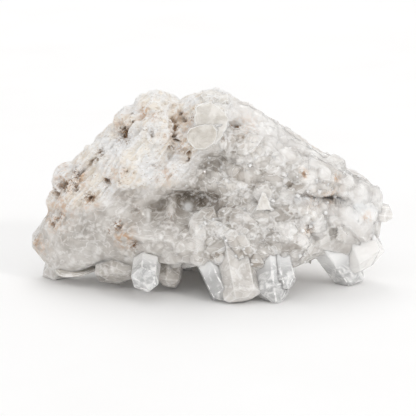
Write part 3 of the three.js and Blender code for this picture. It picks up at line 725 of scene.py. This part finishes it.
class Crystals:
    """Collects crystals, given in mm, into one mesh."""

    def __init__(self, rng):
        self.points, self.faces, self.along, self.tone, self.broken = [], [], [], [], []
        self.rng = rng

    def add_rings(self, rings, tip, place, tone=None, broken=1.0):
        """Closed solid through rings of equal length, from its base to its tip."""
        first = len(self.points)
        sides = len(rings[0])
        tone = self.rng.random() if tone is None else tone
        corners = [corner for ring in rings for corner in ring] + [tip]
        self.points += [place(Vector(corner)) for corner in corners]
        self.along += [corner[2] for corner in corners]
        self.tone += [tone] * len(corners)
        self.broken += [broken] * len(corners)
        self.faces.append([first + n for n in reversed(range(sides))])
        for level in range(len(rings) - 1):
            a, b = first + level * sides, first + (level + 1) * sides
            for n in range(sides):
                m = (n + 1) % sides
                self.faces.append([a + n, a + m, b + m, b + n])
        top = first + (len(rings) - 1) * sides
        for n in range(sides):
            self.faces.append([top + n, top + (n + 1) % sides, top + sides])

    def add_point(self, root, tip, width, thick, point, cut, roll, tone=None, broken=1.0):
        """A six-sided prism with a six-sided termination whose faces are uneven, as quartz has."""
        root, axis = Vector(root), Vector(tip) - Vector(root)
        length = axis.length
        corner = width / 2 / math.cos(math.pi / 6)
        turn = turn_towards(axis, roll)
        uneven = self.rng.uniform(-0.5, 0.5, 6) * point * SHOULDER_UNEVEN
        lean = self.rng.uniform(-1, 1, 2) * corner * TIP_OFF_CENTRE

        def ring(radius, height, lift=0.0, dx=0.0, dy=0.0):
            out = []
            for n in range(6):
                a = n * math.pi / 3
                x, y = radius * math.sin(a) + dx, -radius * math.cos(a) + dy
                out.append((x, y * thick, height + lift * uneven[n]))
            return out

        rings = [ring(corner, 0), ring(corner, length - point * (1 - cut), 1)]
        if cut > 0:
            rings.append(ring(corner * cut, length - CUT_DROP * point * cut, CUT_UNEVEN, *lean))
        top = (lean[0] * TIP_LEAN, lean[1] * TIP_LEAN * thick, length)
        self.add_rings(rings, top, lambda p: root + turn @ p, tone, broken)

    def add_layers(self, outline, middle, layers, top, place, tone=None):
        """A plate through layers of (share of its outline, level, unevenness), from its back to its front."""
        rings = []
        for share, level, wave in layers:
            lift = level + wave * self.rng.uniform(-1, 1, len(outline))
            flat = middle + (outline - middle) * share
            rings.append([(*corner, up) for corner, up in zip(flat, lift)])
        self.add_rings(rings, (*middle, top), place, tone)

    def add_blade(self, at, facing, width, height, thickness, turn):
        """An oval plate with an uneven rim."""
        tilt = turn_towards(Vector(facing), turn)
        a = np.arange(BLADE_SIDES) * 2 * math.pi / BLADE_SIDES
        uneven = self.rng.uniform(*BLADE_UNEVEN, BLADE_SIDES)[:, None]
        outline = uneven * np.stack([np.sin(a) * width, -np.cos(a) * height], axis=1)
        layers = [(share, level * thickness, BLADE_WAVE * thickness) for share, level in BLADE_LAYERS]
        self.add_layers(outline, np.zeros(2), layers, BLADE_TOP * thickness, lambda p: Vector(at) + tilt @ p)

    def add_plate(self, at, facing, tone, outline):
        """A chipped plate whose outline is given as (x, z) seen from the front, narrowing to the back."""
        normal = Vector(facing).normalized()
        rim = self.chipped(outline)

        def place(corner):
            x, z, level = corner
            y = at[1] - ((x - at[0]) * normal.x + (z - at[2]) * normal.z) / normal.y
            return Vector((x, y, z)) + normal * level

        self.add_layers(rim, rim.mean(axis=0), PLATE_LAYERS, PLATE_TOP, place, tone)

    def chipped(self, outline):
        """The outline with points about CHIP_STEP apart and small chips."""
        corners = np.array(outline, float)
        points = []
        for start, end in zip(corners, np.roll(corners, -1, axis=0)):
            steps = max(1, round(np.linalg.norm(end - start) / CHIP_STEP))
            for n in range(steps):
                points.append(mix(start, end, n / steps) + self.rng.uniform(-CHIP_SIZE, CHIP_SIZE, 2))
        return np.array(points)

    def make(self, name, material, wear=0):
        """The mesh piece, with its edges worn to narrow faces wear mm wide."""
        attributes = {"along": self.along, "tone": self.tone, "broken": self.broken}
        piece = make_piece(name, np.array(self.points), self.faces, material, attributes)
        if wear:
            wear_edges(piece.data, wear)


def crust_points():
    """The CAD's stubby crystals."""
    for seed, (at, size, turn, count, width, lean) in enumerate(CRUST, start=1):
        t = math.radians(turn)
        for n in range(1, count + 1):
            draw = [chance(seed * 97 + n * 7 + k) for k in range(7)]
            out = math.sqrt(n * EVEN_STEPS[0] % 1)
            around = 2 * math.pi * (n * EVEN_STEPS[1] % 1)
            along, across = size[0] * out * math.cos(around), size[1] * out * math.sin(around)
            x = at[0] + along * math.cos(t) - across * math.sin(t)
            z = at[1] + along * math.sin(t) + across * math.cos(t)
            w = mix(*width, draw[0])
            seat, facing = front_seat(x, z, w / 2)
            axis = Vector(lean) * CRUST_LEAN + facing + Vector((draw[1] - 0.5, 0, draw[2] - 0.5))
            axis.normalize()
            tip = seat + axis * (w * mix(*CRUST_LENGTH, draw[3]))
            cut = 0 if draw[5] < 0.5 else CRUST_CUT
            yield seat - axis * w, tip, w, 1, w * mix(*CRUST_POINT, draw[4]), cut, 60 * draw[6]


# ---- Materials ----
def srgb(red, green, blue):
    """A colour from display values of 0 to 255."""
    linear = [((v / 255 + 0.055) / 1.055) ** 2.4 for v in (red, green, blue)]
    return (*linear, 1)


# The pairs run from one colour to the other through clouds.
MILK = srgb(158, 151, 143), srgb(233, 230, 226)
DULL_FACES = srgb(170, 160, 149), srgb(200, 195, 189)
PALE_FACES = srgb(240, 237, 233)
# Grey-brown of the quartz's own darker clouds, also laid on as painted shade in hollows and recesses.
SMOKY_AND_PAINTED_SHADE = srgb(132, 122, 110), srgb(172, 164, 155)
# Painted shade laid just beside the broken faces' edges.
PAINTED_SHADE_BESIDE_EDGES = srgb(150, 143, 134)
# Near-white laid on as painted highlights along ridges, face edges and worn rims, as painted light on the
# right end, and as the palest quartz's own colour.
PAINTED_HIGHLIGHT_AND_PALE_QUARTZ = srgb(253, 252, 251)
FINE_QUARTZ = srgb(232, 229, 226), srgb(250, 249, 248)
CLEAR_TO_MILKY = srgb(252, 250, 247), srgb(249, 247, 244)
CHALK = srgb(250, 250, 250), srgb(255, 248, 238)
CHALK_FIBRES = srgb(190, 178, 162)
# Hollows of the matrix: partly brown staining, partly painted shade.
CHALK_HOLLOW_STAIN_AND_SHADE = srgb(206, 190, 166)
# Painted highlights on the matrix's ridges.
CHALK_PAINTED_HIGHLIGHTS = srgb(255, 254, 252)
CHALK_SPECKS = srgb(160, 132, 100)
RUST = srgb(205, 158, 108)
PITS = srgb(150, 112, 74), srgb(78, 58, 40)
DULL_BLADE = srgb(190, 182, 171), srgb(218, 213, 205)
PALE_BLADE = srgb(216, 212, 205), srgb(242, 239, 235)
# Painted highlights on the blades' worn rims.
PAINTED_BLADE_RIM_HIGHLIGHT = srgb(253, 252, 250)
PAPER = srgb(247, 246, 245), srgb(251, 251, 251)
# Broken faces as (size in mm, turn).
BIG_FACES, SMALL_FACES, BLADE_FACES = (8.5, 40), (3.6, -55), (2.4, 30)
QUARTZ_IOR = 1.54


class Look:
    """A material's node tree, built from the shader backwards."""

    def __init__(self, name):
        self.material = bpy.data.materials.new(name)
        self.material.use_nodes = True
        self.tree = self.material.node_tree
        self.shader = self.tree.nodes["Principled BSDF"]

    def set(self, **sockets):
        for key, value in sockets.items():
            self.plug(self.shader.inputs[key.replace("_", " ")], value)

    def plug(self, socket, value):
        if isinstance(value, bpy.types.NodeSocket):
            self.tree.links.new(value, socket)
        else:
            socket.default_value = value

    def node(self, kind, inputs, **settings):
        node = self.tree.nodes.new("ShaderNode" + kind)
        for key, value in settings.items():
            setattr(node, key, value)
        for key, value in inputs.items():
            self.plug(node.inputs[key], value)
        return node

    def position(self):
        """The surface's place in mm, the same from every side."""
        place = self.node("TexCoord", {}).outputs["Object"]
        return self.vector("MULTIPLY", place, (1 / MM, 1 / MM, 1 / MM)).outputs[0]

    def vector(self, operation, a, b):
        return self.node("VectorMath", {0: a, 1: b}, operation=operation)

    def noise(self, size, detail=4, roughness=0.6, distortion=0.0, place=None):
        """Cloudy values around 0.5 with patches of about size mm."""
        place = self.position() if place is None else place
        inputs = {"Vector": place, "Scale": 1 / size, "Detail": detail, "Roughness": roughness,
                  "Distortion": distortion}
        return self.node("TexNoise", inputs).outputs["Fac"]

    def along_grain(self):
        """The place in mm, drawn together along the grain of the matrix."""
        settings = {"Rotation": (0, GRAIN_TURN, 0), "Scale": (1 / GRAIN_STRETCH, 1, 1)}
        return self.node("Mapping", {"Vector": self.position(), **settings}).outputs[0]

    def facets(self, size, turn):
        """Flat broken faces about size mm across, longer along the turn in degrees from the ground: their
        height in mm, a tone for each, and 1 along their edges."""
        inputs = {"Vector": self.position(), "Scale": 0.5 / size}
        wander = self.node("TexNoise", inputs).outputs["Color"]
        wander = self.vector("MULTIPLY", wander, (2 * size, 2 * size, 2 * size)).outputs[0]
        place = self.vector("ADD", self.position(), wander).outputs[0]
        settings = {"Rotation": (0, math.radians(turn), 0), "Scale": (0.55 / size, 1 / size, 1.25 / size)}
        place = self.node("Mapping", {"Vector": place, **settings}).outputs[0]
        inputs = {"Vector": place, "Scale": 1.0}
        cell = self.node("TexVoronoi", inputs)
        border = self.node("TexVoronoi", inputs, feature="DISTANCE_TO_EDGE").outputs["Distance"]
        away = self.vector("SUBTRACT", place, cell.outputs["Position"]).outputs[0]
        tilt = self.vector("SUBTRACT", cell.outputs["Color"], (0.5, 0.5, 0.5)).outputs[0]
        height = self.times(self.vector("DOT_PRODUCT", away, tilt).outputs["Value"], size)
        tone = self.node("SeparateColor", {"Color": cell.outputs["Color"]}).outputs[0]
        return height, tone, self.spread(border, 0.14, 0.01)

    def math(self, operation, a, b=0.0, clamp=False):
        return self.node("Math", {0: a, 1: b}, operation=operation, use_clamp=clamp).outputs[0]

    def times(self, a, b):
        return self.math("MULTIPLY", a, b)

    def plus(self, a, b, clamp=False):
        return self.math("ADD", a, b, clamp)

    def higher(self, a, b, clamp=False):
        return self.math("MAXIMUM", a, b, clamp)

    def spread(self, value, low, high):
        """value stretched so that low becomes 0 and high becomes 1."""
        inputs = {"Value": value, "From Min": low, "From Max": high}
        return self.node("MapRange", inputs, interpolation_type="SMOOTHSTEP").outputs[0]

    def mix(self, share, a, b):
        """Colour a where share is 0 and b where it is 1."""
        return self.node("Mix", {0: share, 6: a, 7: b}, data_type="RGBA").outputs[2]

    def number(self, share, a, b):
        """Number a where share is 0 and b where it is 1."""
        return self.node("Mix", {0: share, 2: a, 3: b}, data_type="FLOAT").outputs[0]

    def attribute(self, name):
        return self.node("Attribute", {}, attribute_name=name).outputs["Fac"]

    def bump(self, height, distance):
        """A bump of height times distance in mm."""
        inputs = {"Height": height, "Distance": distance * MM, "Strength": 1.0}
        return self.node("Bump", inputs).outputs[0]


def broken_quartz(look, crust, tone, painted_hollow_shade, depth, white):
    """Colour and height in mm of milky quartz: broken faces, clouds, grey-brown depths that are partly
    painted shade, painted shade beside the faces' edges and painted highlights along them.
    """
    mottle = look.noise(1.6, 5, 0.65)
    big_height, big_tone, big_edge = look.facets(*BIG_FACES)
    small_height, small_tone, small_edge = look.facets(*SMALL_FACES)
    cloud = look.spread(look.noise(6, 5, 0.62, 0.6), 0.36, 0.64)
    milk = look.mix(look.number(0.6, cloud, tone), *MILK)
    facet = look.number(0.45, look.number(0.5, big_tone, small_tone), tone)
    grown = look.mix(look.spread(facet, 0.2, 0.75), look.mix(cloud, *DULL_FACES), PALE_FACES)
    quartz = look.mix(look.number(crust, 0.2, 1.0), milk, grown)
    # depth carries the lump's shade attribute: grey-brown that is partly the quartz's own tone and partly
    # painted shade in recesses and pockets; the hollows' own painted shade is added to it.
    depth = look.times(depth, look.number(look.number(0.5, big_tone, mottle), 0.2, 1.3))
    smoky_and_painted_shade = look.mix(look.spread(mottle, 0.4, 0.6), *SMOKY_AND_PAINTED_SHADE)
    quartz = look.mix(look.plus(painted_hollow_shade, depth, clamp=True), quartz, smoky_and_painted_shade)
    # Painted shade beside the faces' edges, stronger on the crust.
    beside = look.higher(look.spread(big_edge, 0.0, 0.5), look.spread(small_edge, 0.0, 0.5))
    quartz = look.mix(look.times(beside, look.number(crust, 0.08, 0.24)), quartz, PAINTED_SHADE_BESIDE_EDGES)
    # Painted highlights: thin near-white lines along the faces' edges, and the white passed in.
    lines = look.higher(look.spread(big_edge, 0.5, 1.0), look.spread(small_edge, 0.6, 1.0))
    lines = look.times(lines, look.spread(mottle, 0.4, 0.55))
    lines = look.times(lines, look.number(crust, 0.35, 0.6))
    quartz = look.mix(look.higher(lines, white, clamp=True), quartz, PAINTED_HIGHLIGHT_AND_PALE_QUARTZ)
    faces = look.plus(big_height, look.times(small_height, 0.7))
    faces = look.plus(faces, look.times(growth_lines(look), 0.02))
    return quartz, look.times(faces, look.number(crust, 0.4, 1.0))


def chalky_matrix(look, edge, cavity):
    """Colour and height in mm of the matrix: fibres and specks along its grain, hollows browned partly as
    stain and partly as painted shade, and painted highlights on its edges.
    """
    fibres = look.noise(0.9, 5, 0.7, 0.6, look.along_grain())
    specks = look.spread(look.noise(0.6, 4, 0.7, 0.5, look.along_grain()), 0.57, 0.66)
    chalk = look.mix(look.spread(look.noise(9, 4, 0.6), 0.4, 0.62), *CHALK)
    chalk = look.mix(look.spread(fibres, 0.43, 0.57), look.mix(0.2, chalk, CHALK_FIBRES), chalk)
    # Browner hollows, partly stain and partly painted shade.
    chalk = look.mix(look.times(look.spread(cavity, 0.4, 1.3), 0.2), chalk, CHALK_HOLLOW_STAIN_AND_SHADE)
    # Painted highlights on the ridges.
    chalk = look.mix(look.times(look.spread(edge, 0.02, 0.14), 0.6), chalk, CHALK_PAINTED_HIGHLIGHTS)
    chalk = look.mix(look.times(specks, 0.5), chalk, CHALK_SPECKS)
    return chalk, look.plus(look.times(look.noise(0.9, 6, 0.75), 0.3), look.times(fibres, 0.7))


def stained(look, base, cavity):
    """The base with rust and with brown pits, where the lump carries stains."""
    brown, orange = look.attribute("brown"), look.attribute("orange")
    rusty = look.times(orange, look.spread(look.noise(1.9, 5, 0.7, 0.5), 0.42, 0.62))
    base = look.mix(rusty, base, RUST)
    pit = look.times(brown, look.spread(look.noise(1.1, 5, 0.7, 0.5), 0.48, 0.57))
    pit = look.plus(pit, look.times(brown, look.spread(cavity, 0.4, 1.4)), clamp=True)
    dark = look.mix(look.spread(look.noise(0.8, 3), 0.45, 0.6), *PITS)
    return look.mix(look.times(pit, 0.95), base, dark)


def lump_look():
    """Milky quartz with a glassy skin, painted shade in its hollows and painted highlights on its ridges, and
    chalky matrix whose pits are stained brown.
    """
    look = Look("quartz_and_matrix")
    matrix, crust, tone = (look.attribute(name) for name in ("matrix", "crust", "tone"))
    edge, cavity, shade = (look.attribute(name) for name in ("edge", "cavity", "shade"))
    # Painted shade: grey-brown in the lump's hollows, weaker on the crust.
    painted_hollow_shade = look.times(look.spread(cavity, 0.0, 1.2), look.number(crust, 0.4, 0.15))
    # Painted highlights on the ridges, and whiter quartz where the shade is negative, partly painted light.
    pale = look.times(look.spread(edge, 0.04, 0.2), look.number(crust, 0.3, 0.2))
    white = look.higher(pale, look.times(shade, -0.8))
    quartz, faces = broken_quartz(look, crust, tone, painted_hollow_shade, shade, white)
    chalk, grain = chalky_matrix(look, edge, cavity)
    base = stained(look, look.mix(matrix, quartz, chalk), cavity)
    normal = look.bump(look.number(matrix, faces, grain), 1.0)
    glassy(look, base, normal, look.number(matrix, 0.16, 0.85), 0.0, 3.0)
    look.set(Subsurface_Weight=look.number(matrix, 1.0, 0.15))
    return look.material


def glassy(look, base, normal, roughness, clear, depth):
    """Quartz: clear is how much light it lets through, the rest scatters within depth in mm."""
    look.set(Base_Color=base, Roughness=roughness, IOR=QUARTZ_IOR, Normal=normal)
    look.set(Transmission_Weight=clear, Subsurface_Weight=0.8)
    look.set(Subsurface_Radius=(1.0, 1.0, 1.0), Subsurface_Scale=depth * MM)


def growth_lines(look):
    """Fine lines across the faces of a point."""
    wavy = look.times(look.noise(2), 6)
    return look.math("SINE", look.plus(look.times(look.attribute("along"), 7.0), wavy))


def frosted_look():
    """The milky points, of the same quartz as the crust, with painted highlights on their worn edges."""
    look = Look("frosted_quartz")
    tone = look.attribute("tone")
    # Painted highlights on the worn rims, and near-white for the palest points.
    white = look.times(look.attribute("rim"), look.number(tone, 0.05, 0.35))
    white = look.higher(white, look.spread(tone, 1.0, 2.3))
    base, faces = broken_quartz(look, look.attribute("broken"), tone, 0.0, 0.0, white)
    glassy(look, base, look.bump(faces, 0.6), 0.14, 0.0, 2.5)
    return look.material


def sugar_look():
    """The fine crystals of the crust, white and glossy."""
    look = Look("fine_quartz")
    base = look.mix(look.attribute("tone"), *FINE_QUARTZ)
    glassy(look, base, look.bump(look.noise(0.5, 4, 0.7), 0.1), 0.18, 0.0, 1.5)
    return look.material


def clear_look():
    """Glassy crystal, milky near its root and in cloudy veils, with pale worn edges."""
    look = Look("clear_quartz")
    root = look.spread(look.attribute("along"), 14.0, 6.0)
    veil = look.plus(look.noise(3, 5, 0.6, 0.8), look.times(look.attribute("tone"), 0.5))
    worn = look.times(look.attribute("rim"), look.spread(look.noise(1.8, 3), 0.38, 0.6))
    veil = look.higher(look.higher(root, look.spread(veil, 0.55, 0.9)), worn)
    base = look.mix(veil, *CLEAR_TO_MILKY)
    normal = look.bump(look.plus(look.times(growth_lines(look), 0.1), look.noise(1.2, 4)), 0.2)
    glassy(look, base, normal, look.number(veil, 0.03, 0.22), look.number(veil, 0.6, 0.05), 1.5)
    return look.material


def blade_look():
    """Pale, waxy plates with fine streaks and painted highlights on their worn rims."""
    look = Look("pale_blades")
    cloud = look.spread(look.noise(3.5, 5, 0.65, 0.5), 0.35, 0.65)
    dull, pale = look.mix(cloud, *DULL_BLADE), look.mix(cloud, *PALE_BLADE)
    worn = look.times(look.attribute("rim"), look.spread(look.noise(1.4, 3), 0.3, 0.5))
    base = look.mix(look.attribute("tone"), dull, pale)
    # Painted highlights on the worn rims.
    base = look.mix(look.times(worn, 0.9), base, PAINTED_BLADE_RIM_HIGHLIGHT)
    height = look.plus(look.noise(1.1, 5, 0.7), look.times(look.facets(*BLADE_FACES)[0], 0.5))
    glassy(look, base, look.bump(height, 0.4), 0.3, 0.0, 1.5)
    return look.material


def floor_look():
    look = Look("white_paper")
    look.set(Base_Color=look.mix(look.noise(60, 2), *PAPER), Roughness=0.7)
    return look.material


# ---- The pieces ----
def make_points(name, points, rng, material, wear=0):
    crystals = Crystals(rng)
    for point in points:
        crystals.add_point(*point)
    crystals.make(name, material, wear)


def make_blades():
    blades = Crystals(seeded(6))
    for plate in PLATES:
        blades.add_plate(*plate)
    for blade in BLADES:
        blades.add_blade(*blade)
    blades.make("pale_blades", blade_look(), BLADE_WEAR)


def make_crystals(surface, crust):
    milky, clear = MILKY_POINTS.values(), CLEAR_POINTS.values()
    make_points("clear_points", clear, seeded(4), clear_look(), CLEAR_WEAR)
    make_points("milky_points", milky, seeded(3), frosted_look(), MILKY_WEAR)
    make_blades()
    rng = seeded(8)
    fine = at_random(surface, crust, rng, *FINE_CRYSTALS)
    make_points("fine_crystals", fine, rng, sugar_look())


# ---- The studio, in metres ----
FLOOR_SIZE = 12
# The sky's strength changes from the first to the second between these two Y's of its direction.
SKY_STRENGTH, SKY_Y = (1.06, 0.72), (-0.9, 0.2)
LAMP_AIM = Vector((0, 0, 0.03))
# Lamps as name: (place, size, energy).
LAMPS = {"overhead": ((-0.1, 1.1, 1.9), 1.5, 10), "glint": ((1.3, -1.3, 1.2), 0.25, 7)}
CAMERA_AIM, CAMERA_ELEVATION, CAMERA_DISTANCE = Vector((-0.00116, 0, 0.0253)), math.radians(14), 0.8
CAMERA_LENS, CAMERA_SENSOR, CAMERA_NEAREST = 209.4, 36, 0.01


def make_floor():
    bpy.ops.mesh.primitive_plane_add(size=FLOOR_SIZE)
    floor = bpy.context.object
    floor.name = "floor"
    floor.data.materials.append(floor_look())


def make_world():
    """A white studio, brighter on the camera's side than overhead and behind."""
    world = bpy.data.worlds.new("studio")
    world.use_nodes = True
    bpy.context.scene.world = world
    tree = world.node_tree
    background = tree.nodes["Background"]
    background.inputs["Color"].default_value = (1, 1, 1, 1)
    place = tree.nodes.new("ShaderNodeTexCoord")
    parts = tree.nodes.new("ShaderNodeSeparateXYZ")
    ramp = tree.nodes.new("ShaderNodeMapRange")
    for n, end in enumerate(("Min", "Max")):
        ramp.inputs[f"From {end}"].default_value = SKY_Y[n]
        ramp.inputs[f"To {end}"].default_value = SKY_STRENGTH[n]
    tree.links.new(place.outputs["Generated"], parts.inputs[0])
    tree.links.new(parts.outputs[1], ramp.inputs["Value"])
    tree.links.new(ramp.outputs[0], background.inputs["Strength"])


def put(name, data, place, back):
    """A lamp or a camera at its place, with its back turned to the given way."""
    thing = bpy.data.objects.new(name, data)
    bpy.context.collection.objects.link(thing)
    thing.location = place
    thing.rotation_euler = back.to_track_quat("Z", "Y").to_euler()
    return thing


def make_light(name, place, size, energy):
    light = bpy.data.lights.new(name, "AREA")
    light.shape = "DISK"
    light.size = size
    light.energy = energy
    put(name, light, place, Vector(place) - LAMP_AIM)


def make_camera():
    back = Vector((0, -math.cos(CAMERA_ELEVATION), math.sin(CAMERA_ELEVATION)))
    camera = bpy.data.cameras.new("camera")
    camera.sensor_width = CAMERA_SENSOR
    camera.lens = CAMERA_LENS
    camera.clip_start = CAMERA_NEAREST
    bpy.context.scene.camera = put("camera", camera, CAMERA_AIM + back * CAMERA_DISTANCE, back)


make_camera()
make_world()
make_floor()
for lamp_name, lamp_sizes in LAMPS.items():
    make_light(lamp_name, *lamp_sizes)
make_crystals(*make_lump(lump_look()))
bpy.context.scene.view_settings.view_transform = "Standard"
